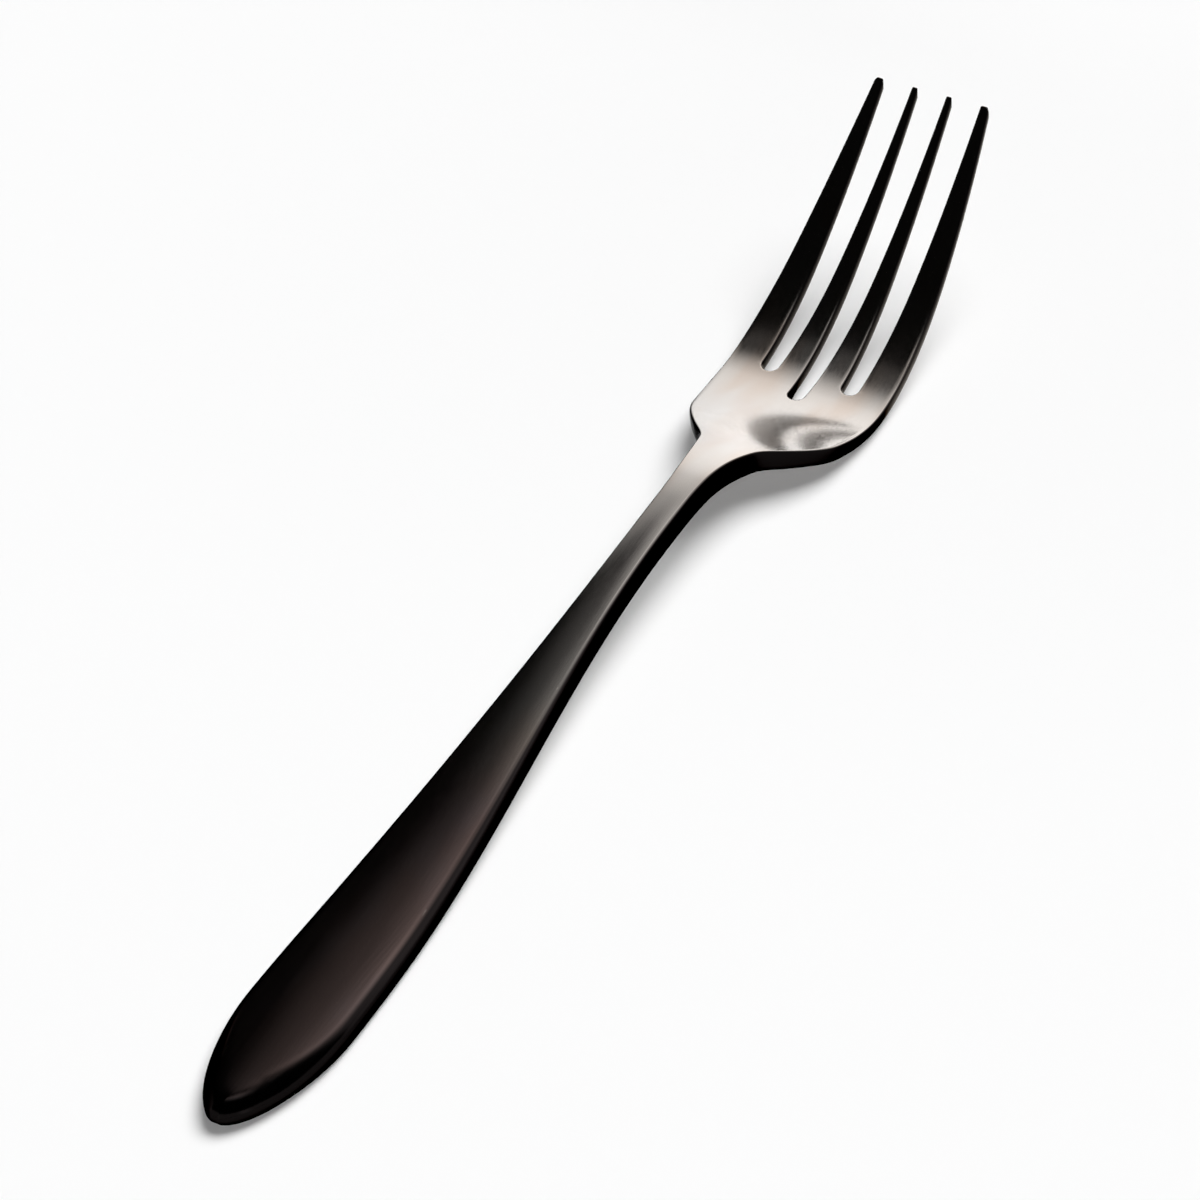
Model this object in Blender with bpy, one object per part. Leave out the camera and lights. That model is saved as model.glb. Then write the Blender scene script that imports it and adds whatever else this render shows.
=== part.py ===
"""Salad fork: teardrop handle, slim arched neck, dished palm and four tines, all of one steel forging.

Units are metres. +Y runs from the butt of the handle to the tips of the tines, +X is to the right of
someone who looks along +Y, and +Z is up. The fork lies face up on a table at Z = 0, and the origin is on
the table under the middle of its length. A station is a distance from the butt, measured along +Y.

The forging is modelled in zones that meet at flat seams: handle, neck, palm and four tines.
"""
import math

import bmesh
import bpy

# Lengths of the zones, from the butt to the tips
HANDLE_LENGTH = 0.106
NECK_LENGTH = 0.018
PALM_LENGTH = 0.028
TINE_LENGTH = 0.036
SEAM_GAP = 0.00005

# Plan outline of the handle and neck
HANDLE_WIDTH = 0.0149
HANDLE_WIDEST_AT = 0.0190
BUTT_TIP_WIDTH = 0.0008
BUTT_POINT = 0.65
NECK_WIDTH = 0.00473
NECK_STRAIGHT = 0.0054

# Widths of the tines and of the slots between them, at the roots and at the tips
OUTER_ROOT_WIDTH = 0.00503
OUTER_TIP_WIDTH = 0.00141
INNER_ROOT_WIDTH = 0.00391
INNER_TIP_WIDTH = 0.0010
SLOT_WIDTH_ROOT = 0.00231
SLOT_WIDTH_TIP = 0.00431
TINE_TAPER = 1.82

# How far the slots run into the palm past the tines' start
SIDE_SLOT_REACH = 0.0033
CENTRE_SLOT_REACH = 0.0074

# Plan outline of the palm, at distances past its start: how far each side stands out from the neck, or in
# from the full width, and the slope of the outline there
FLARE_AT = 0.0022
FLARE_OUT = 0.0019
FLARE_SLOPE = 0.30
SHOULDER_AT = 0.0061
SHOULDER_IN = 0.0051
SHOULDER_SLOPE = 0.85
CORNER_AT = 0.0126
CORNER_IN = 0.0011
CORNER_SLOPE = 0.22
WIDEST_AT = 0.0225

# Side view: height of the underside, how far past the butt, the neck's and the palm's start it turns, and
# the power of the tines' rise with the length of its soft start
ARCH_HEIGHT = 0.0073
ARCH_STARTS_AT = 0.0297
ARCH_TOP_AT = 0.0101
PALM_BOTTOM_AT = 0.0226
TIP_HEIGHT = 0.0247
TINE_CURVE = 1.43
TINE_EASE = 0.0075

# Thickness of the metal, thickest just past the neck's start and thin from a little past the palm's start
BUTT_THICKNESS = 0.0040
NECK_THICKNESS = 0.0043
PALM_THICKNESS = 0.0018
TIP_THICKNESS = 0.0013
THICKEST_AT = 0.0054
THIN_AT = 0.0233

# Section shape: how far the rounded edge reaches in from the outline, the slope of the crown at its edges,
# and the dish with the distance past the tines' start at which it has faded
HANDLE_EDGE = 0.0012
NECK_EDGE = 0.00075
PALM_EDGE = 0.0003
CROWN_SLOPE = 0.22
DISH_DEPTH = 0.0011
DISH_FADES_AT = 0.016
TIP_ROUND = 0.0006

# Middle of the palm: how far it stands above the plain dish, the distance before the palm's start where that
# begins, those past it where it is highest and has ended, and the length in which the underside takes it up
MIDDLE_HEIGHT = 0.0013
MIDDLE_BEFORE = 0.006
MIDDLE_TOP_AT = 0.022
MIDDLE_ENDS_AT = 0.042
MIDDLE_EASE = 0.004

# Shares: the thickness left at a rounded end, and the most of a half width that a rounded edge may take
BLUNT_END = 0.35
EDGE_LIMIT = 0.7

# Counts for the lofted meshes, and the angle between faces past which an edge is drawn sharp
HANDLE_STATIONS = 30
NECK_STATIONS = 10
PALM_STATIONS = 18
TINE_STATIONS = 14
TIP_STATIONS = 5
FACE_POINTS = 12
TINE_FACE_POINTS = 3
EDGE_POINTS = 6
SLOT_ARC_POINTS = 12
SHARP_ANGLE = math.radians(40)

# Stations and widths worked out from the sizes above
NECK_START = HANDLE_LENGTH
PALM_START = NECK_START + NECK_LENGTH
TINE_START = PALM_START + PALM_LENGTH
LENGTH = TINE_START + TINE_LENGTH
ARCH_TOP = NECK_START + ARCH_TOP_AT
PALM_BOTTOM = PALM_START + PALM_BOTTOM_AT
THICKEST = NECK_START + THICKEST_AT
THIN_FROM = PALM_START + THIN_AT
DISH_END = TINE_START + DISH_FADES_AT
MIDDLE_START = PALM_START - MIDDLE_BEFORE
MIDDLE_TOP = PALM_START + MIDDLE_TOP_AT
MIDDLE_END = PALM_START + MIDDLE_ENDS_AT
FLARE_START = NECK_START + NECK_STRAIGHT
WIDEST = PALM_START + WIDEST_AT
SLOT_PITCH_ROOT = INNER_ROOT_WIDTH + SLOT_WIDTH_ROOT
SLOT_PITCH_TIP = INNER_TIP_WIDTH + SLOT_WIDTH_TIP
PALM_HALF = SLOT_PITCH_ROOT + SLOT_WIDTH_ROOT / 2 + OUTER_ROOT_WIDTH
TIP_HALF = SLOT_PITCH_TIP + SLOT_WIDTH_TIP / 2 + OUTER_TIP_WIDTH

# Finish: satin dark steel with a warm tint
STEEL_COLOUR = (0.125, 0.116, 0.108, 1.0)
STEEL_ROUGHNESS = 0.15


def ease(value, start, end):
    """Go from 0 at start to 1 at end along half a cosine wave."""
    share = min(max((value - start) / (end - start), 0.0), 1.0)
    return 0.5 - 0.5 * math.cos(math.pi * share)


def mix(first, second, share):
    return first + (second - first) * share


def hermite(value, knots):
    """Cubic curve through knots of (place, height, slope)."""
    for (x0, y0, m0), (x1, y1, m1) in zip(knots, knots[1:]):
        if value <= x1:
            break
    span = x1 - x0
    u = (value - x0) / span
    rise = (3.0 - 2.0 * u) * u * u
    return y0 + (y1 - y0) * rise + span * u * (1.0 - u) * (m0 * (1.0 - u) - m1 * u)


PALM_OUTLINE = [
    (FLARE_START, NECK_WIDTH / 2, 0.0),
    (PALM_START + FLARE_AT, NECK_WIDTH / 2 + FLARE_OUT, FLARE_SLOPE),
    (PALM_START + SHOULDER_AT, PALM_HALF - SHOULDER_IN, SHOULDER_SLOPE),
    (PALM_START + CORNER_AT, PALM_HALF - CORNER_IN, CORNER_SLOPE),
    (WIDEST, PALM_HALF, 0.0),
]


def half_width(station):
    """Half the width of the outline, without the slots."""
    if station < HANDLE_WIDEST_AT:
        ogive = (1.0 - (1.0 - station / HANDLE_WIDEST_AT) ** 2) ** BUTT_POINT
        return mix(BUTT_TIP_WIDTH / 2, HANDLE_WIDTH / 2, ogive)
    if station < FLARE_START:
        return mix(HANDLE_WIDTH / 2, NECK_WIDTH / 2, ease(station, HANDLE_WIDEST_AT, NECK_START))
    if station < WIDEST:
        return hermite(station, PALM_OUTLINE)
    return mix(PALM_HALF, TIP_HALF, ((station - WIDEST) / (LENGTH - WIDEST)) ** TINE_TAPER)


def tine_rise(distance):
    """Rise of the tines at a distance past the palm's bottom: a power curve with a soft start."""
    return math.hypot(distance, TINE_EASE) ** TINE_CURVE - TINE_EASE ** TINE_CURVE


def underside(station):
    """Height of the underside on the centre line."""
    if station > PALM_BOTTOM:
        return TIP_HEIGHT * tine_rise(station - PALM_BOTTOM) / tine_rise(LENGTH - PALM_BOTTOM)
    rise = ease(station, ARCH_STARTS_AT, ARCH_TOP)
    return ARCH_HEIGHT * rise * (1.0 - ease(station, ARCH_TOP, PALM_BOTTOM))


def slope(station):
    """Slope of the underside along the fork."""
    step = 0.00001
    return (underside(station + step) - underside(station - step)) / (2.0 * step)


def thickness(station):
    """Upright thickness: the metal's own thickness, measured on the slant of the side view."""
    metal = mix(BUTT_THICKNESS, NECK_THICKNESS, ease(station, 0.0, THICKEST))
    metal = mix(metal, PALM_THICKNESS, ease(station, THICKEST, THIN_FROM))
    metal = mix(metal, TIP_THICKNESS, ease(station, THIN_FROM, LENGTH))
    return metal * math.hypot(1.0, slope(station))


def edge_reach(station):
    """How far the rounded edge reaches in from the outline."""
    reach = mix(HANDLE_EDGE, NECK_EDGE, ease(station, HANDLE_WIDEST_AT, NECK_START))
    reach = mix(reach, PALM_EDGE, ease(station, NECK_START, PALM_START + SHOULDER_AT))
    return min(reach, EDGE_LIMIT * half_width(station))


def crown(station):
    """How far the middle of the top face stands above its edges."""
    return CROWN_SLOPE / 2 * half_width(station) * (1.0 - ease(station, NECK_START, PALM_START))


def dish(station):
    """How far the edges of the palm stand above its middle."""
    return DISH_DEPTH * ease(station, PALM_START, PALM_BOTTOM) * (1.0 - ease(station, PALM_BOTTOM, DISH_END))


def palm_middle(station):
    """How far the middle of the palm stands above the plain dish."""
    rise = ease(station, MIDDLE_START, MIDDLE_TOP)
    return MIDDLE_HEIGHT * rise * (1.0 - ease(station, MIDDLE_TOP, MIDDLE_END))


def end_round(distance, radius):
    """Share of the full size at a distance from a rounded end."""
    reach = min(max(distance / radius, 0.0), 1.0)
    return max(math.sqrt(1.0 - (1.0 - reach) ** 2), BLUNT_END)


def slot_edges(station, centre_share):
    """The two sides of a slot, whose middle is at centre_share slot pitches from the centre line."""
    share = (station - TINE_START + SIDE_SLOT_REACH) / (TINE_LENGTH + SIDE_SLOT_REACH)
    centre = centre_share * mix(SLOT_PITCH_ROOT, SLOT_PITCH_TIP, share)
    half = mix(SLOT_WIDTH_ROOT, SLOT_WIDTH_TIP, share) / 2
    return centre - half, centre + half


def place(x, station, z):
    return (x, station - LENGTH / 2, z)


def section(station, left, right, reach, end_share, face_points):
    """Closed ring of points across the fork between two edges, anticlockwise as seen from the butt."""
    half = half_width(station)
    base = underside(station)
    full = thickness(station)
    sag = dish(station)
    bulge = crown(station)
    lift = palm_middle(station)
    low_lift = lift * ease(station, PALM_BOTTOM - MIDDLE_EASE, PALM_BOTTOM + MIDDLE_EASE / 2)

    def low(x):
        across = (x / half) ** 2
        return base + sag * across + low_lift * (1.0 - across) + full * (1.0 - end_share) / 2

    def high(x):
        across = (x / half) ** 2
        return base + (sag - bulge) * across + lift * (1.0 - across) + full * (1.0 + end_share) / 2

    ring = []
    for i in range(face_points):
        x = mix(left + reach, right - reach, i / (face_points - 1))
        ring.append(place(x, station, low(x)))
    for i in range(1, EDGE_POINTS):
        turn = math.pi * i / EDGE_POINTS
        x = right - reach + reach * math.sin(turn)
        ring.append(place(x, station, mix(low(x), high(x), 0.5 - 0.5 * math.cos(turn))))
    for i in range(face_points):
        x = mix(right - reach, left + reach, i / (face_points - 1))
        ring.append(place(x, station, high(x)))
    for i in range(1, EDGE_POINTS):
        turn = math.pi * i / EDGE_POINTS
        x = left + reach - reach * math.sin(turn)
        ring.append(place(x, station, mix(high(x), low(x), 0.5 - 0.5 * math.cos(turn))))
    return ring


def steel(name):
    material = bpy.data.materials.new(name)
    material.use_nodes = True
    shader = material.node_tree.nodes["Principled BSDF"]
    shader.inputs["Base Color"].default_value = STEEL_COLOUR
    shader.inputs["Metallic"].default_value = 1.0
    shader.inputs["Roughness"].default_value = STEEL_ROUGHNESS
    return material


def loft(name, rings, collection):
    """Closed skin over rings of points that run along the fork, with a flat cap at each end."""
    mesh = bpy.data.meshes.new(name)
    shape = bmesh.new()
    loops = [[shape.verts.new(point) for point in ring] for ring in rings]
    for first, second in zip(loops, loops[1:]):
        for i in range(len(first)):
            j = (i + 1) % len(first)
            shape.faces.new((first[i], first[j], second[j], second[i]))
    shape.faces.new(loops[0][::-1])
    shape.faces.new(loops[-1])
    bmesh.ops.recalc_face_normals(shape, faces=shape.faces)
    shape.to_mesh(mesh)
    shape.free()
    mesh.shade_smooth()
    mesh.set_sharp_from_angle(angle=SHARP_ANGLE)
    piece = bpy.data.objects.new(name, mesh)
    collection.objects.link(piece)
    return piece


def stations(start, end, count):
    return [mix(start, end, i / (count - 1)) for i in range(count)]


def full_width_zone(name, places, collection):
    """A zone that spans the whole width of the fork, through sections at the given stations."""
    rings = []
    for station in places:
        half = half_width(station)
        end_share = end_round(station, HANDLE_EDGE)
        rings.append(section(station, -half, half, edge_reach(station), end_share, FACE_POINTS))
    piece = loft(name, rings, collection)
    piece.data.materials.append(steel(name + "_steel"))
    return piece


def make_handle(collection):
    """Stations crowd towards the pointed butt, where the outline turns fastest."""
    end = NECK_START - SEAM_GAP / 2
    places = [end * share ** 2 for share in stations(0.0, 1.0, HANDLE_STATIONS)]
    return full_width_zone("handle", places, collection)


def make_neck(collection):
    places = stations(NECK_START + SEAM_GAP / 2, PALM_START - SEAM_GAP / 2, NECK_STATIONS)
    return full_width_zone("neck", places, collection)


def make_slot_cutter(name, centre_share, root, collection):
    """Upright prism of one slot: a round bottom at the root, then straight sides past the seam."""
    left, right = slot_edges(root, centre_share)
    middle = (left + right) / 2
    radius = (right - left) / 2
    outline = []
    for i in range(SLOT_ARC_POINTS + 1):
        turn = math.pi * i / SLOT_ARC_POINTS
        outline.append((middle - radius * math.cos(turn), root + radius - radius * math.sin(turn)))
    past = TINE_START + radius
    left, right = slot_edges(past, centre_share)
    outline += [(right, past), (left, past)]
    below = -NECK_THICKNESS
    above = ARCH_HEIGHT + 2.0 * NECK_THICKNESS
    rings = [[place(x, station, z) for x, station in outline] for z in (below, above)]
    cutter = loft(name, rings, collection)
    cutter.hide_render = True
    cutter.display_type = "WIRE"
    return cutter


def make_palm(collection, cutters):
    places = stations(PALM_START + SEAM_GAP / 2, TINE_START - SEAM_GAP / 2, PALM_STATIONS)
    palm = full_width_zone("palm", places, collection)
    slots = {
        "slot_left": (-1, SIDE_SLOT_REACH),
        "slot_centre": (0, CENTRE_SLOT_REACH),
        "slot_right": (1, SIDE_SLOT_REACH),
    }
    for name, (centre_share, reach) in slots.items():
        cut = palm.modifiers.new(name, "BOOLEAN")
        cut.operation = "DIFFERENCE"
        cut.object = make_slot_cutter(name, centre_share, TINE_START - reach, cutters)
    return palm


def make_tine(name, edges, collection):
    """One tine between two edge curves, with a small rounded tip."""
    places = stations(TINE_START + SEAM_GAP / 2, LENGTH - TIP_ROUND, TINE_STATIONS)
    places += stations(LENGTH - TIP_ROUND, LENGTH, TIP_STATIONS)[1:]
    rings = []
    for station in places:
        left, right = edges(station)
        end_share = end_round(LENGTH - station, TIP_ROUND)
        middle = (left + right) / 2
        half = (right - left) / 2 * end_share
        reach = min(PALM_EDGE, EDGE_LIMIT * half)
        rings.append(section(station, middle - half, middle + half, reach, end_share, TINE_FACE_POINTS))
    piece = loft(name, rings, collection)
    piece.data.materials.append(steel(name + "_steel"))
    return piece


TINES = {
    "tine_left_outer": lambda station: (-half_width(station), slot_edges(station, -1)[0]),
    "tine_left_inner": lambda station: (slot_edges(station, -1)[1], slot_edges(station, 0)[0]),
    "tine_right_inner": lambda station: (slot_edges(station, 0)[1], slot_edges(station, 1)[0]),
    "tine_right_outer": lambda station: (slot_edges(station, 1)[1], half_width(station)),
}


def new_collection(name):
    collection = bpy.data.collections.new(name)
    bpy.context.scene.collection.children.link(collection)
    return collection


def main():
    for thing in list(bpy.data.objects):
        bpy.data.objects.remove(thing)
    fork = new_collection("salad_fork")
    cutters = new_collection("cutters")
    make_handle(fork)
    make_neck(fork)
    make_palm(fork, cutters)
    for name, edges in TINES.items():
        make_tine(name, edges, fork)


main()
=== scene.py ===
"""Looks of the salad fork: one seamless skin of satin dark steel, with its floor, light and camera.

Units are metres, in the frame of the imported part: +Y runs from the butt of the handle to the tips of the
tines and +Z is up. A station is a distance from the butt, measured along +Y. The sizes below repeat those of
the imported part, whose seven zones the skin covers, apart from the rounded edges.
"""
import math

import bpy
import numpy as np
from mathutils import Matrix, Vector


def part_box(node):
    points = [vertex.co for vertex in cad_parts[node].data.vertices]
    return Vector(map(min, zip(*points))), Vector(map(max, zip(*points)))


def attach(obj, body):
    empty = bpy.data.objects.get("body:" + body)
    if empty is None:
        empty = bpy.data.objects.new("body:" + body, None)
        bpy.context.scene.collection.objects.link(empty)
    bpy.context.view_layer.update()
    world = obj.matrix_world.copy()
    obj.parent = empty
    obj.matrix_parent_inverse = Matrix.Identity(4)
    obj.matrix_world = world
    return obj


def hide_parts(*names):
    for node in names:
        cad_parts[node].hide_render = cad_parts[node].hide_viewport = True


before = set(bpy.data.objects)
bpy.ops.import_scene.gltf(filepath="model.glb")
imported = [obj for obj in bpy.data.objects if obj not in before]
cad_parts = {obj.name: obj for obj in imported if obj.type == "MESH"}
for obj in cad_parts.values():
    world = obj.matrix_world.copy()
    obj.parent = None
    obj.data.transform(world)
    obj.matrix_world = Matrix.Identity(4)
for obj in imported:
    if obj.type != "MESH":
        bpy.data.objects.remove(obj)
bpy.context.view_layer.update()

# Stations of the zones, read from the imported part
BUTT_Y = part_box("handle")[0].y
NECK_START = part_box("neck")[0].y - BUTT_Y
PALM_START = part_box("palm")[0].y - BUTT_Y
TINE_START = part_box("tine_left_inner")[0].y - BUTT_Y
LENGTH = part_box("tine_left_inner")[1].y - BUTT_Y

# Plan outline of the handle and neck
HANDLE_WIDTH = 0.0149
HANDLE_WIDEST_AT = 0.0190
BUTT_TIP_WIDTH = 0.0008
BUTT_POINT = 0.65
NECK_WIDTH = 0.00473
NECK_STRAIGHT = 0.0054

# Widths of the tines and of the slots between them, and how far the slots reach back from the tines' start
SLOT_COUNT = 3
OUTER_ROOT_WIDTH = 0.00503
OUTER_TIP_WIDTH = 0.00141
INNER_ROOT_WIDTH = 0.00391
INNER_TIP_WIDTH = 0.0010
SLOT_WIDTH_ROOT = 0.00231
SLOT_WIDTH_TIP = 0.00431
TINE_TAPER = 1.82
SIDE_SLOT_REACH = 0.0033
CENTRE_SLOT_REACH = 0.0074

# Plan outline of the palm, at distances past its start
FLARE_AT = 0.0022
FLARE_OUT = 0.0019
FLARE_SLOPE = 0.30
SHOULDER_AT = 0.0061
SHOULDER_IN = 0.0051
SHOULDER_SLOPE = 0.85
CORNER_AT = 0.0126
CORNER_IN = 0.0011
CORNER_SLOPE = 0.22
WIDEST_AT = 0.0225

# Side view and thickness of the metal
ARCH_HEIGHT = 0.0073
ARCH_STARTS_AT = 0.0297
ARCH_TOP_AT = 0.0101
PALM_BOTTOM_AT = 0.0226
TIP_HEIGHT = 0.0247
TINE_CURVE = 1.43
TINE_EASE = 0.0075
BUTT_THICKNESS = 0.0040
NECK_THICKNESS = 0.0043
PALM_THICKNESS = 0.0018
TIP_THICKNESS = 0.0013
THICKEST_AT = 0.0054
THIN_AT = 0.0233

# Rounded edges: how far they reach in from the outline, with the handle's upper one wider than its lower one
BUTT_EDGE = 0.0045
HANDLE_UPPER_EDGE = 0.0018
HANDLE_LOWER_EDGE = 0.0012
NECK_EDGE = 0.0006
PALM_EDGE = 0.0003
EDGE_LIMIT = 0.7
EDGE_SQUARENESS = 2.5
NOSE_LENGTH = 0.0065
TIP_ROUND = 0.0006
BLUNT_END = 0.30

# Crown of the handle and dish of the palm
CROWN_SLOPE = 0.22
DISH_DEPTH = 0.0011
DISH_FADES_AT = 0.016

# Middle of the palm's upper face, which stands above a plain dish from the neck to the roots of the tines
MIDDLE_HEIGHT = 0.0013
MIDDLE_BEFORE = 0.006
MIDDLE_TOP_AT = 0.022
MIDDLE_ENDS_AT = 0.042
MIDDLE_EASE = 0.004

# Resolution of the skin, and powers that crowd its rows at the butt and its columns at the edges
HANDLE_ROWS = 120
NECK_ROWS = 36
PALM_ROWS = 60
ROOT_ROWS = 50
TINE_ROWS = 90
TIP_ROWS = 7
EDGE_COLUMNS = 6
FACE_COLUMNS = 6
SLOT_COLUMNS = 9
LANE_COLUMNS = 2 * (EDGE_COLUMNS + 1) + FACE_COLUMNS
LANE_PITCH = LANE_COLUMNS + SLOT_COLUMNS
BUTT_CROWDING = 2
EDGE_CROWDING = 3
ROW_DIGITS = 7
SLOPE_STEP = 0.00001
# Length over which the rows bend round a slot's bottom, in slot radii
SLOT_BEND = 3.2

# Stations and widths worked out from the sizes above
ARCH_TOP = NECK_START + ARCH_TOP_AT
PALM_BOTTOM = PALM_START + PALM_BOTTOM_AT
THICKEST = NECK_START + THICKEST_AT
THIN_FROM = PALM_START + THIN_AT
DISH_END = TINE_START + DISH_FADES_AT
MIDDLE_START = PALM_START - MIDDLE_BEFORE
MIDDLE_TOP = PALM_START + MIDDLE_TOP_AT
MIDDLE_END = PALM_START + MIDDLE_ENDS_AT
FLARE_START = NECK_START + NECK_STRAIGHT
WIDEST = PALM_START + WIDEST_AT
SLOT_PITCH_ROOT = INNER_ROOT_WIDTH + SLOT_WIDTH_ROOT
SLOT_PITCH_TIP = INNER_TIP_WIDTH + SLOT_WIDTH_TIP
PALM_HALF = SLOT_PITCH_ROOT + SLOT_WIDTH_ROOT / 2 + OUTER_ROOT_WIDTH
TIP_HALF = SLOT_PITCH_TIP + SLOT_WIDTH_TIP / 2 + OUTER_TIP_WIDTH
SLOT_ROOTS = [TINE_START - SIDE_SLOT_REACH, TINE_START - CENTRE_SLOT_REACH, TINE_START - SIDE_SLOT_REACH]
LANES_FROM = min(SLOT_ROOTS)

# Palm outline: station, half width and slope at the points that it passes through
PALM_OUTLINE = [
    (FLARE_START, NECK_WIDTH / 2, 0.0),
    (PALM_START + FLARE_AT, NECK_WIDTH / 2 + FLARE_OUT, FLARE_SLOPE),
    (PALM_START + SHOULDER_AT, PALM_HALF - SHOULDER_IN, SHOULDER_SLOPE),
    (PALM_START + CORNER_AT, PALM_HALF - CORNER_IN, CORNER_SLOPE),
    (WIDEST, PALM_HALF, 0.0),
]


def ease(value, start, end):
    """Go from 0 at start to 1 at end along half a cosine wave."""
    share = np.clip((value - start) / (end - start), 0.0, 1.0)
    return 0.5 - 0.5 * np.cos(np.pi * share)


def mix(first, second, share):
    """Go from first at share 0 to second at share 1."""
    return first + (second - first) * share


def half_width(station):
    """Half the width of the outline, without the slots."""
    ogive = (1.0 - (1.0 - np.clip(station / HANDLE_WIDEST_AT, 0.0, 1.0)) ** 2) ** BUTT_POINT
    half = mix(BUTT_TIP_WIDTH / 2, HANDLE_WIDTH / 2, ogive)
    taper = mix(HANDLE_WIDTH / 2, NECK_WIDTH / 2, ease(station, HANDLE_WIDEST_AT, NECK_START))
    half = np.where(station < HANDLE_WIDEST_AT, half, taper)
    for (x0, y0, m0), (x1, y1, m1) in zip(PALM_OUTLINE, PALM_OUTLINE[1:]):
        span = x1 - x0
        u = np.clip((station - x0) / span, 0.0, 1.0)
        curve = y0 + (y1 - y0) * (3.0 - 2.0 * u) * u * u
        curve += span * u * (1.0 - u) * (m0 * (1.0 - u) - m1 * u)
        half = np.where(station >= x0, curve, half)
    share = np.clip((station - WIDEST) / (LENGTH - WIDEST), 0.0, 1.0)
    return np.where(station > WIDEST, mix(PALM_HALF, TIP_HALF, share ** TINE_TAPER), half)


def tine_rise(distance):
    """Rise of the tines at a distance past the palm's bottom: a power curve with a soft start."""
    return np.hypot(distance, TINE_EASE) ** TINE_CURVE - TINE_EASE ** TINE_CURVE


def underside(station):
    """Height of the underside on the centre line."""
    arch = ease(station, ARCH_STARTS_AT, ARCH_TOP) * (1.0 - ease(station, ARCH_TOP, PALM_BOTTOM))
    past = np.maximum(station - PALM_BOTTOM, 0.0)
    return ARCH_HEIGHT * arch + TIP_HEIGHT * tine_rise(past) / tine_rise(LENGTH - PALM_BOTTOM)


def gradient(curve, station):
    """Slope of a curve over stations."""
    return (curve(station + SLOPE_STEP) - curve(station - SLOPE_STEP)) / (2.0 * SLOPE_STEP)


def thickness(station):
    """Upright thickness of the metal, measured on the slant of the side view."""
    metal = mix(BUTT_THICKNESS, NECK_THICKNESS, ease(station, 0.0, THICKEST))
    metal = mix(metal, PALM_THICKNESS, ease(station, THICKEST, THIN_FROM))
    metal = mix(metal, TIP_THICKNESS, ease(station, THIN_FROM, LENGTH))
    return metal * np.hypot(1.0, gradient(underside, station))


def slot_sides(station, index):
    """The two sides of slot 0, 1 or 2, counted from the left."""
    share = (station - TINE_START + SIDE_SLOT_REACH) / (LENGTH - TINE_START + SIDE_SLOT_REACH)
    centre = (index - 1) * mix(SLOT_PITCH_ROOT, SLOT_PITCH_TIP, share)
    half = mix(SLOT_WIDTH_ROOT, SLOT_WIDTH_TIP, share) / 2
    return centre - half, centre + half


def slot_radius(root):
    """Radius of a slot's round bottom, at which the circle meets the slot's straight sides."""
    left, right = slot_sides(root, 1)
    spread = (SLOT_WIDTH_TIP - SLOT_WIDTH_ROOT) / 2 / (LENGTH - TINE_START + SIDE_SLOT_REACH)
    return (right - left) / 2 / (1.0 - spread)


SLOT_RADII = [slot_radius(root) for root in SLOT_ROOTS]
SLOT_BOTTOMS = [root + radius for root, radius in zip(SLOT_ROOTS, SLOT_RADII)]


def tine_sides(station):
    """Left and right side of each of the four lanes that end as tines, drawn in to a rounded tip."""
    lane_station = np.maximum(station, LANES_FROM)
    scale = half_width(station) / half_width(lane_station)
    slots = [slot_sides(lane_station, index) for index in range(SLOT_COUNT)]
    lefts = [-half_width(lane_station)] + [right for left, right in slots]
    rights = [left for left, right in slots] + [half_width(lane_station)]
    past = np.clip((station - LENGTH + TIP_ROUND) / TIP_ROUND, 0.0, 1.0)
    end_share = np.maximum(np.sqrt(1.0 - past ** 2), BLUNT_END)
    sides = []
    for left, right in zip(lefts, rights):
        middle = (left + right) / 2
        half = (right - left) / 2 * end_share
        sides.append(((middle - half) * scale, (middle + half) * scale))
    return sides


def edge_reach(station, handle_edge):
    """How far the rounded edge reaches in from the outline."""
    reach = mix(BUTT_EDGE, handle_edge, ease(station, 0.0, HANDLE_WIDEST_AT))
    reach = mix(reach, NECK_EDGE, ease(station, HANDLE_WIDEST_AT, NECK_START))
    reach = mix(reach, PALM_EDGE, ease(station, NECK_START, PALM_START + SHOULDER_AT))
    left, right = tine_sides(station)[1]
    narrowest = np.where(station > LANES_FROM, (right - left) / 2, half_width(station))
    return np.minimum(reach, EDGE_LIMIT * narrowest)


def rim_share(distance, reach):
    """1 on the outline, down to 0 where the rounded edge meets the face."""
    return 1.0 - np.clip(distance / reach, 0.0, 1.0)


def edge_height(rim):
    """Share of the full height on a squarish rounded edge."""
    return (1.0 - rim ** EDGE_SQUARENESS) ** (1.0 / EDGE_SQUARENESS)


def columns(station):
    """The x of every column of the skin: even over the handle, in lanes over the tines and slots."""
    steps = [(i / EDGE_COLUMNS) ** EDGE_CROWDING for i in range(EDGE_COLUMNS + 1)]
    shares = [i / (FACE_COLUMNS + 1) for i in range(1, FACE_COLUMNS + 1)]
    slot_turns = [math.pi * i / (SLOT_COLUMNS + 1) for i in range(1, SLOT_COLUMNS + 1)]
    sides = tine_sides(station)
    lanes = []
    for index, (left, right) in enumerate(sides):
        reach = np.minimum(PALM_EDGE, EDGE_LIMIT * (right - left) / 2)
        lanes += [left + reach * step for step in steps]
        lanes += [mix(left + reach, right - reach, share) for share in shares]
        lanes += [right - reach * step for step in reversed(steps)]
        if index < SLOT_COUNT:
            next_left = sides[index + 1][0]
            lanes += [mix(right, next_left, 0.5 - 0.5 * math.cos(turn)) for turn in slot_turns]
    lanes = np.stack(lanes, axis=1)
    turns = np.linspace(0.0, math.pi, lanes.shape[1])
    even = -np.cos(turns)[None, :] * half_width(station)[:, None]
    return mix(even, lanes, ease(station, PALM_START, LANES_FROM)[:, None])


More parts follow.
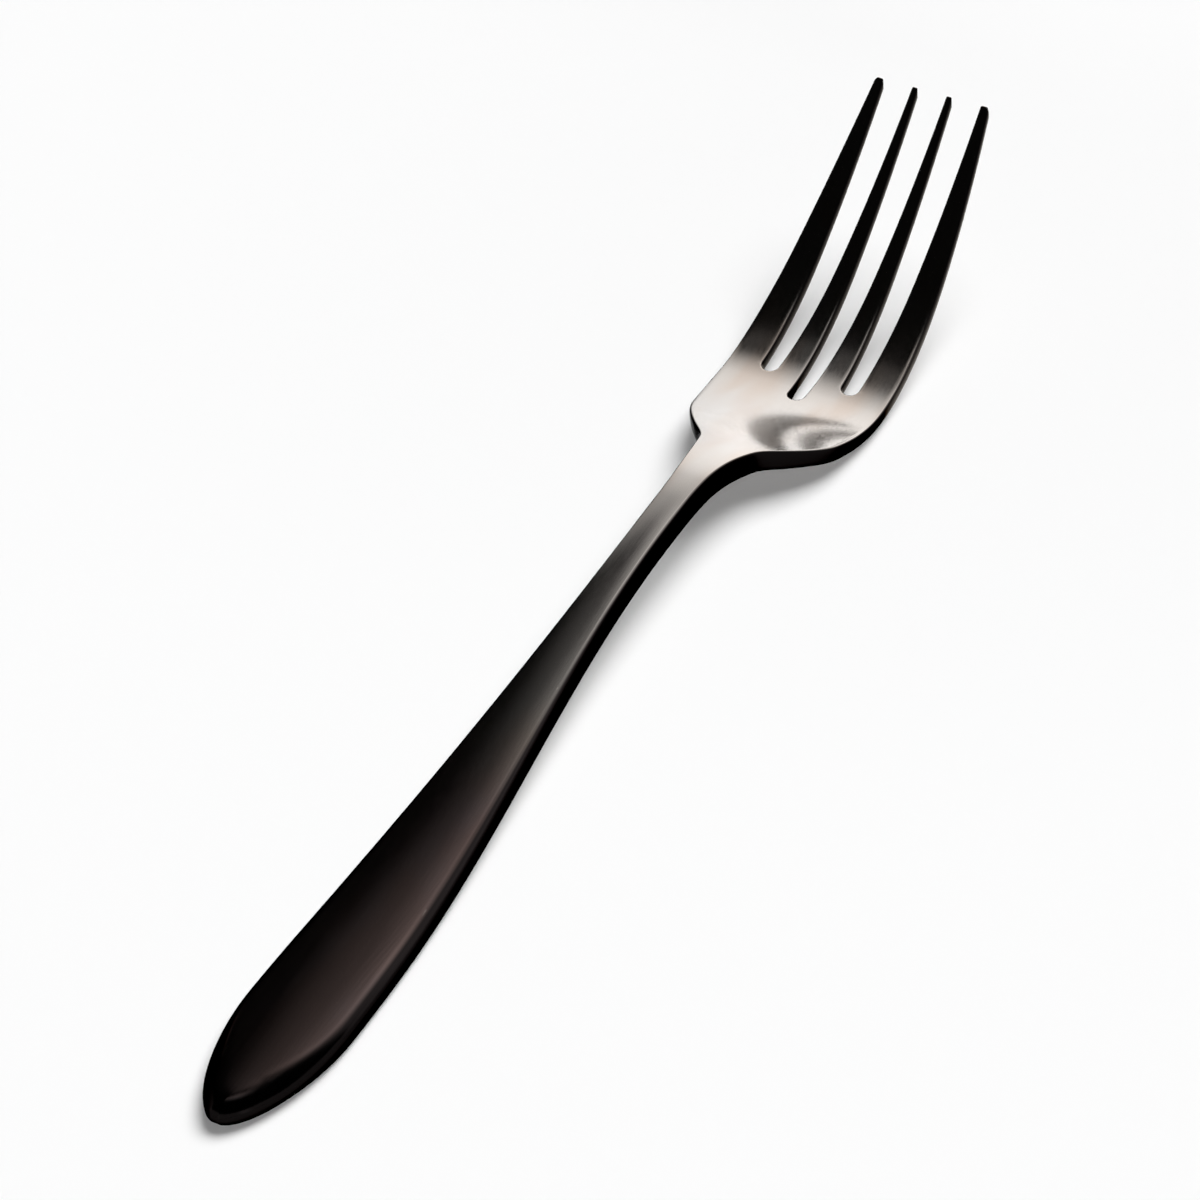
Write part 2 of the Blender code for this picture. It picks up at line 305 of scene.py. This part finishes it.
def row_stations():
    """Stations of the rows, with more of them at the butt and one through each slot's bottom."""
    rows = [
        NECK_START * np.linspace(0.0, 1.0, HANDLE_ROWS) ** BUTT_CROWDING,
        np.linspace(NECK_START, PALM_START, NECK_ROWS),
        np.linspace(PALM_START, LANES_FROM, PALM_ROWS),
        np.linspace(LANES_FROM, TINE_START, ROOT_ROWS),
        np.linspace(TINE_START, LENGTH - TIP_ROUND, TINE_ROWS),
        LENGTH - TIP_ROUND * (1.0 - np.sin(np.linspace(0.0, math.pi / 2, TIP_ROWS))),
        np.array(SLOT_BOTTOMS),
    ]
    return np.unique(np.round(np.concatenate(rows), ROW_DIGITS))


def slot_distance(x, station, index):
    """Distance outside slot 0, 1 or 2, measured in plan."""
    left, right = slot_sides(station, index)
    beside = np.maximum(left - x, x - right)
    bottom = SLOT_BOTTOMS[index]
    middle = np.add(*slot_sides(np.array(bottom), index)) / 2
    behind = np.hypot(x - middle, station - bottom) - SLOT_RADII[index]
    return np.where(station < bottom, behind, beside)


def palm_middle(station):
    """Height of the middle of the palm's upper face above a plain dish."""
    rise = ease(station, MIDDLE_START, MIDDLE_TOP)
    return MIDDLE_HEIGHT * rise * (1.0 - ease(station, MIDDLE_TOP, MIDDLE_END))


def skin_heights(x, station, lower_rim, upper_rim):
    """Heights of the lower and the upper face, drawn together in a rounded edge at the outline."""
    across = (x / half_width(station)) ** 2
    sag = DISH_DEPTH * ease(station, PALM_START, PALM_BOTTOM) * (1.0 - ease(station, PALM_BOTTOM, DISH_END))
    crown = CROWN_SLOPE / 2 * half_width(station) * (1.0 - ease(station, NECK_START, PALM_START))
    lift = palm_middle(station) * (1.0 - across)
    low = underside(station) + sag * across
    high = low + thickness(station) - crown * across + lift
    low = low + lift * ease(station, PALM_BOTTOM - MIDDLE_EASE, PALM_BOTTOM + MIDDLE_EASE / 2)
    middle = (low + high) / 2
    return mix(middle, low, edge_height(lower_rim)), mix(middle, high, edge_height(upper_rim))


def skin_grid():
    """Plan grid of the skin: x and station of its points, those on an edge, and the cells of metal."""
    rows = row_stations()
    x = columns(rows)
    station = np.repeat(rows[:, None], x.shape[1], axis=1)
    on_edge = np.zeros(x.shape, bool)
    on_edge[[0, -1], :] = True
    on_edge[:, [0, -1]] = True
    metal_cells = np.ones((x.shape[0] - 1, x.shape[1] - 1), bool)
    turns = np.linspace(0.0, math.pi, SLOT_COLUMNS + 2)
    for index, (bottom, radius) in enumerate(zip(SLOT_BOTTOMS, SLOT_RADII)):
        bottom_row = int(np.argmin(np.abs(rows - bottom)))
        first = index * LANE_PITCH + LANE_COLUMNS - 1
        last = first + SLOT_COLUMNS + 1
        bend = ease(rows, bottom - SLOT_BEND * radius, bottom)[:, None] * np.sin(turns)[None, :] * radius
        station[:bottom_row + 1, first:last + 1] -= bend[:bottom_row + 1]
        on_edge[bottom_row, first:last + 1] = True
        on_edge[bottom_row:, [first, last]] = True
        metal_cells[bottom_row:, first:last] = False
    return x, station, on_edge, metal_cells


def edge_distance(x, station, on_edge):
    """Distance in from the nearest edge, measured in plan."""
    sides = tine_sides(station)
    distance = np.minimum(x - sides[0][0], sides[-1][1] - x)
    distance /= np.hypot(1.0, gradient(half_width, station))
    for index in range(SLOT_COUNT):
        distance = np.minimum(distance, slot_distance(x, station, index))
    distance = np.minimum(distance, np.minimum(station, (LENGTH - station) * PALM_EDGE / TIP_ROUND))
    return np.where(on_edge, 0.0, np.maximum(distance, 0.0))


def skin_rim(station, distance, handle_edge):
    """1 on the edges, down to 0 on the face, with the whole butt rounded off as a nose."""
    past_nose = 1.0 - rim_share(station, NOSE_LENGTH) ** 2
    return 1.0 - past_nose * (1.0 - rim_share(distance, edge_reach(station, handle_edge)))


def make_skin():
    """Closed mesh of the whole fork: an upper and a lower sheet on one plan grid, joined at the edges."""
    x, station, on_edge, metal_cells = skin_grid()
    distance = edge_distance(x, station, on_edge)
    upper_rim = skin_rim(station, distance, HANDLE_UPPER_EDGE)
    lower_rim = skin_rim(station, distance, HANDLE_LOWER_EDGE)
    low, high = skin_heights(x, station, lower_rim, upper_rim)

    count = x.size
    upper = np.arange(count).reshape(x.shape)
    lower = np.where(on_edge, upper, upper + count)
    points = np.concatenate([
        np.stack([x, station + BUTT_Y, high], axis=-1).reshape(-1, 3),
        np.stack([x, station + BUTT_Y, low], axis=-1).reshape(-1, 3),
    ])
    faces = []
    for row, column in np.argwhere(metal_cells):
        corners = [(row, column), (row, column + 1), (row + 1, column + 1), (row + 1, column)]
        faces.append([upper[corner] for corner in corners])
        faces.append([lower[corner] for corner in reversed(corners)])
    used = np.unique(np.array(faces))
    number = np.zeros(len(points), int)
    number[used] = np.arange(len(used))

    mesh = bpy.data.meshes.new("fork_skin")
    mesh.from_pydata(points[used].tolist(), [], number[np.array(faces)].tolist())
    mesh.shade_smooth()
    rim = np.concatenate([upper_rim.reshape(-1), lower_rim.reshape(-1)])[used]
    mesh.attributes.new("rim", "FLOAT", "POINT").data.foreach_set("value", rim)
    skin = bpy.data.objects.new("fork_skin", mesh)
    bpy.context.scene.collection.objects.link(skin)
    return skin


# Satin dark steel: a thin warm coating with grain along the length, worn at the edges, redder on the handle.
# Painted shade darkens the handle and the walls.
# The RIM spans run over the skin's rim value, which is 0 on the faces and 1 on the edges.
FACE_COLOUR = (0.125, 0.116, 0.108, 1.0)
# Handle: redder than the face, which is its coating's tone, and darker, which is a painted shade
HANDLE_TONE_AND_SHADE = (0.090, 0.069, 0.067, 1.0)
# Painted shade: near-black walls, standing in for the dark floor and shadow that they would mirror
WALL_SHADE_COLOUR = (0.006, 0.005, 0.005, 1.0)
WORN_COLOUR = (0.34, 0.31, 0.28, 1.0)
STAIN_COLOUR = (0.96, 0.89, 0.84, 1.0)
FACE_TINT = (1.0, 1.0, 1.0, 1.0)
# Painted shade: a low edge tint dims the walls' reflections, less on the tines, which stand higher over the
# lit floor
WALL_SHADE_TINT = (0.08, 0.08, 0.08, 1.0)
TINE_WALL_SHADE_TINT = (0.80, 0.76, 0.72, 1.0)
WALL_SHADE_RIM = (0.0, 0.55)
HANDLE_TONE_AND_SHADE_SPAN = (0.072, 0.052)
TINE_WALL_SHADE_FADE = 0.008
TINE_WALL_SHADE_SPAN = (TINE_START - TINE_WALL_SHADE_FADE, TINE_START)
GRAIN_SCALE = (5000.0, 130.0, 5000.0)
GRAIN_RANGE = (0.25, 0.75)
GRAIN_DEPTH = 0.000004
STAIN_SCALE = (160.0, 45.0, 160.0)
STAIN_RANGE = (0.42, 0.66)
WEAR_SCALE = (900.0, 260.0, 900.0)
WEAR_RANGE = (0.67, 0.79)
WEAR_RIM = (0.0, 0.12)
ROUGHNESS_RANGE = (0.12, 0.18)


def add_node(tree, kind, settings, inputs):
    """New shader node with its settings, and with values or links put into its inputs."""
    node = tree.nodes.new("ShaderNode" + kind)
    for name, value in settings.items():
        setattr(node, name, value)
    for socket, value in inputs.items():
        if isinstance(value, bpy.types.NodeSocket):
            tree.links.new(value, node.inputs[socket])
        else:
            node.inputs[socket].default_value = value
    return node


def add_noise(tree, place, scale):
    """Cloudy pattern from 0 to 1, stretched by a scale for each axis."""
    stretched = add_node(tree, "VectorMath", {"operation": "MULTIPLY"}, {0: place, 1: scale})
    return add_node(tree, "TexNoise", {}, {"Vector": stretched.outputs["Vector"], "Scale": 1.0}).outputs[0]


def add_ramp(tree, value, span, ends=(0.0, 1.0)):
    """Soft change from one end to the other while a value crosses a span."""
    inputs = {
        "Value": value,
        "From Min": span[0],
        "From Max": span[1],
        "To Min": ends[0],
        "To Max": ends[1],
    }
    return add_node(tree, "MapRange", {"interpolation_type": "SMOOTHSTEP"}, inputs).outputs["Result"]


def add_blend(tree, share, first, second, blend="MIX"):
    """Mix of two colours."""
    settings = {"data_type": "RGBA", "blend_type": blend}
    return add_node(tree, "Mix", settings, {0: share, 6: first, 7: second}).outputs[2]


def make_steel():
    """Steel with its colours, grain, stains and worn edges, and painted shade on the walls and on the
    handle.
    """
    material = bpy.data.materials.new("satin_dark_steel")
    material.use_nodes = True
    tree = material.node_tree
    shader = tree.nodes["Principled BSDF"]
    shader.inputs["Metallic"].default_value = 1.0

    place = add_node(tree, "TexCoord", {}, {}).outputs["Object"]
    along = add_node(tree, "SeparateXYZ", {}, {0: place}).outputs["Y"]
    station = add_node(tree, "Math", {"operation": "SUBTRACT"}, {0: along, 1: BUTT_Y}).outputs[0]
    rim = add_node(tree, "Attribute", {"attribute_name": "rim"}, {}).outputs["Fac"]

    # Mask of the painted shade on the walls, where the rim value is high
    wall_shade = add_ramp(tree, rim, WALL_SHADE_RIM)
    stain = add_ramp(tree, add_noise(tree, place, STAIN_SCALE), STAIN_RANGE)
    nicks = add_ramp(tree, add_noise(tree, place, WEAR_SCALE), WEAR_RANGE)
    at_edge = add_ramp(tree, rim, WEAR_RIM)
    worn = add_node(tree, "Math", {"operation": "MULTIPLY"}, {0: nicks, 1: at_edge}).outputs[0]
    grain = add_noise(tree, place, GRAIN_SCALE)

    # Painted shade and tone: the handle turns darker and redder than the face
    colour = add_blend(tree, add_ramp(tree, station, HANDLE_TONE_AND_SHADE_SPAN), FACE_COLOUR, HANDLE_TONE_AND_SHADE)
    colour = add_blend(tree, stain, colour, STAIN_COLOUR, "MULTIPLY")
    colour = add_blend(tree, worn, colour, WORN_COLOUR)
    # Painted shade: near-black colour and low edge tint on the walls
    colour = add_blend(tree, wall_shade, colour, WALL_SHADE_COLOUR)
    wall_shade_tint = add_blend(tree, add_ramp(tree, station, TINE_WALL_SHADE_SPAN), WALL_SHADE_TINT, TINE_WALL_SHADE_TINT)
    tint_with_wall_shade = add_blend(tree, wall_shade, FACE_TINT, wall_shade_tint)
    bump = add_node(tree, "Bump", {}, {"Height": grain, "Distance": GRAIN_DEPTH})
    tree.links.new(colour, shader.inputs["Base Color"])
    tree.links.new(tint_with_wall_shade, shader.inputs["Specular Tint"])
    tree.links.new(add_ramp(tree, grain, GRAIN_RANGE, ROUGHNESS_RANGE), shader.inputs["Roughness"])
    tree.links.new(bump.outputs["Normal"], shader.inputs["Normal"])
    return material


# Floor, light and camera
FLOOR_SIZE = 4.0
FLOOR_COLOUR = (0.93, 0.93, 0.93, 1.0)
FLOOR_ROUGHNESS = 0.9
CAMERA_TARGET = Vector((-0.002370, 0.001790, 0.0050))
CAMERA_AZIMUTH = math.radians(33.14)
CAMERA_ELEVATION = math.radians(42.07)
CAMERA_ROLL = math.radians(-5.0)
CAMERA_DISTANCE = 0.58544
CAMERA_LENS = 135.0
SENSOR_WIDTH = 36.0

# Middle of a panel in its own coordinates, which run from 0 to 1, and the distance from there to its edges
PANEL_MIDDLE = (0.5, 0.5, 0.0)
PANEL_HALF = 0.5
# Soft panels behind the fork, one just behind the other: middle in x and z, width, height and radiance
BACKDROP_Y = 0.155
BACKDROP_STEP = 0.001
BACKDROP = [
    (-0.02, 0.03, 0.26, 0.26, 2.2),
    (-0.02, 0.07, 0.30, 0.40, 3.0),
    (-0.02, 0.11, 0.26, 0.30, 1.0),
    (-0.12, 0.11, 0.24, 0.24, 2.4),
    (0.04, 0.24, 0.30, 0.36, 3.1),
    (0.10, 0.32, 0.30, 0.36, 0.65),
    (0.00, 0.30, 0.26, 0.60, 0.65),
    (-0.02, 0.46, 0.30, 0.32, 0.9),
    (0.12, 0.50, 0.36, 0.30, 0.55),
    (-0.12, 0.36, 0.30, 0.50, 0.3),
    (0.10, 0.06, 0.40, 0.26, 1.7),
    (0.22, 0.14, 0.40, 0.44, 4.4),
    (0.20, 0.34, 0.36, 0.40, 2.0),
]
# Panels for the other views: low round the sides, and overhead
SIDE_PANEL_AZIMUTHS = (90, 150, 210, 260)
SIDE_PANEL_DISTANCE = 0.80
SIDE_PANEL_HEIGHT = 0.22
SIDE_PANEL_SIZE = (1.10, 0.42)
SIDE_PANEL_RADIANCE = 1.0
TOP_PANEL_AT = Vector((0.0, 0.20, 1.20))
TOP_PANEL_SIZE = (0.60, 0.50)
TOP_PANEL_RADIANCE = 3.0
# Light of the floor: a soft key from behind, and a fill from above that casts no shadow. Their angles are
# the azimuth from +Y, positive to +X, and the elevation, in degrees.
KEY_STRENGTH = 2.89
KEY_SPREAD = math.radians(44)
KEY_ANGLES = (26, 62)
FILL_STRENGTH = 0.72
FILL_ANGLES = (0, 90)
WORLD_COLOUR = (1.0, 1.0, 1.0, 1.0)
WORLD_STRENGTH = 0.01


def make_floor():
    """Plain matt floor under the fork."""
    mesh = bpy.data.meshes.new("floor")
    half = FLOOR_SIZE / 2
    corners = [(-half, -half, 0), (half, -half, 0), (half, half, 0), (-half, half, 0)]
    mesh.from_pydata(corners, [], [(0, 1, 2, 3)])
    floor = bpy.data.objects.new("floor", mesh)
    bpy.context.scene.collection.objects.link(floor)
    material = bpy.data.materials.new("pale_floor")
    material.use_nodes = True
    shader = material.node_tree.nodes["Principled BSDF"]
    shader.inputs["Base Color"].default_value = FLOOR_COLOUR
    shader.inputs["Roughness"].default_value = FLOOR_ROUGHNESS
    shader.inputs["Specular IOR Level"].default_value = 0.0
    mesh.materials.append(material)


def direction(azimuth, elevation):
    """Unit vector towards an azimuth from +Y, positive to +X, and an elevation, both in degrees."""
    a = math.radians(azimuth)
    e = math.radians(elevation)
    return Vector((math.sin(a) * math.cos(e), math.cos(a) * math.cos(e), math.sin(e)))


def make_area_light(name, place, facing, size, radiance):
    """Soft panel that shows in reflections and lights no floor."""
    lamp = bpy.data.lights.new(name, "AREA")
    lamp.shape = "RECTANGLE"
    lamp.size, lamp.size_y = size
    lamp.energy = radiance * math.pi * lamp.size * lamp.size_y
    light = bpy.data.objects.new(name, lamp)
    light.location = place
    light.rotation_euler = facing.to_track_quat("-Z", "Y").to_euler()
    light.visible_diffuse = False
    light.visible_camera = False
    bpy.context.scene.collection.objects.link(light)
    return light


def fade_light(light):
    """Let a panel fade smoothly from its middle to nothing at the ellipse inside its edges."""
    light.data.use_nodes = True
    tree = light.data.node_tree
    place = add_node(tree, "NewGeometry", {}, {}).outputs["Parametric"]
    offset = add_node(tree, "VectorMath", {"operation": "SUBTRACT"}, {0: place, 1: PANEL_MIDDLE})
    radius = add_node(tree, "VectorMath", {"operation": "LENGTH"}, {0: offset.outputs["Vector"]})
    fade = add_ramp(tree, radius.outputs["Value"], (PANEL_HALF, 0.0))
    tree.links.new(fade, tree.nodes["Emission"].inputs["Strength"])


def make_sun(name, toward, strength):
    """Distant light for the floor alone, kept out of the steel's reflections."""
    lamp = bpy.data.lights.new(name, "SUN")
    lamp.energy = strength
    sun = bpy.data.objects.new(name, lamp)
    sun.rotation_euler = toward.to_track_quat("Z", "Y").to_euler()
    sun.visible_glossy = False
    bpy.context.scene.collection.objects.link(sun)
    return lamp


def make_lights():
    """Panels that the steel mirrors, the two lights of the floor and a faint even world."""
    forward = Vector((0, -1, 0))
    down = Vector((0, 0, -1))
    for index, (x, z, width, height, radiance) in enumerate(BACKDROP):
        place = Vector((x, BACKDROP_Y + index * BACKDROP_STEP, z))
        fade_light(make_area_light("backdrop_%d" % index, place, forward, (width, height), radiance))
    for azimuth in SIDE_PANEL_AZIMUTHS:
        toward = direction(azimuth, 0)
        place = toward * SIDE_PANEL_DISTANCE + Vector((0, 0, SIDE_PANEL_HEIGHT))
        make_area_light("side_%d" % azimuth, place, -toward, SIDE_PANEL_SIZE, SIDE_PANEL_RADIANCE)
    fade_light(make_area_light("top", TOP_PANEL_AT, down, TOP_PANEL_SIZE, TOP_PANEL_RADIANCE))
    make_sun("floor_key", direction(*KEY_ANGLES), KEY_STRENGTH).angle = KEY_SPREAD
    make_sun("floor_fill", direction(*FILL_ANGLES), FILL_STRENGTH).use_shadow = False
    world = bpy.data.worlds.new("studio")
    world.use_nodes = True
    background = world.node_tree.nodes["Background"]
    background.inputs["Color"].default_value = WORLD_COLOUR
    background.inputs["Strength"].default_value = WORLD_STRENGTH
    bpy.context.scene.world = world


def make_camera():
    """Camera at the photo's viewing angle, turned a little about its own axis."""
    a = CAMERA_AZIMUTH
    e = CAMERA_ELEVATION
    right = Vector((math.cos(a), math.sin(a), 0.0))
    up = Vector((-math.sin(a) * math.sin(e), math.cos(a) * math.sin(e), math.cos(e)))
    back = right.cross(up)
    turned = Matrix.Rotation(CAMERA_ROLL, 3, back)
    axes = Matrix((turned @ right, turned @ up, back)).transposed().to_4x4()
    data = bpy.data.cameras.new("camera")
    data.lens = CAMERA_LENS
    data.sensor_width = SENSOR_WIDTH
    camera = bpy.data.objects.new("camera", data)
    camera.matrix_world = Matrix.Translation(CAMERA_TARGET + back * CAMERA_DISTANCE) @ axes
    bpy.context.scene.collection.objects.link(camera)
    bpy.context.scene.camera = camera


skin = make_skin()
skin.data.materials.append(make_steel())
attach(skin, "root")
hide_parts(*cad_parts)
make_floor()
make_lights()
make_camera()
bpy.context.scene.view_settings.view_transform = "Standard"
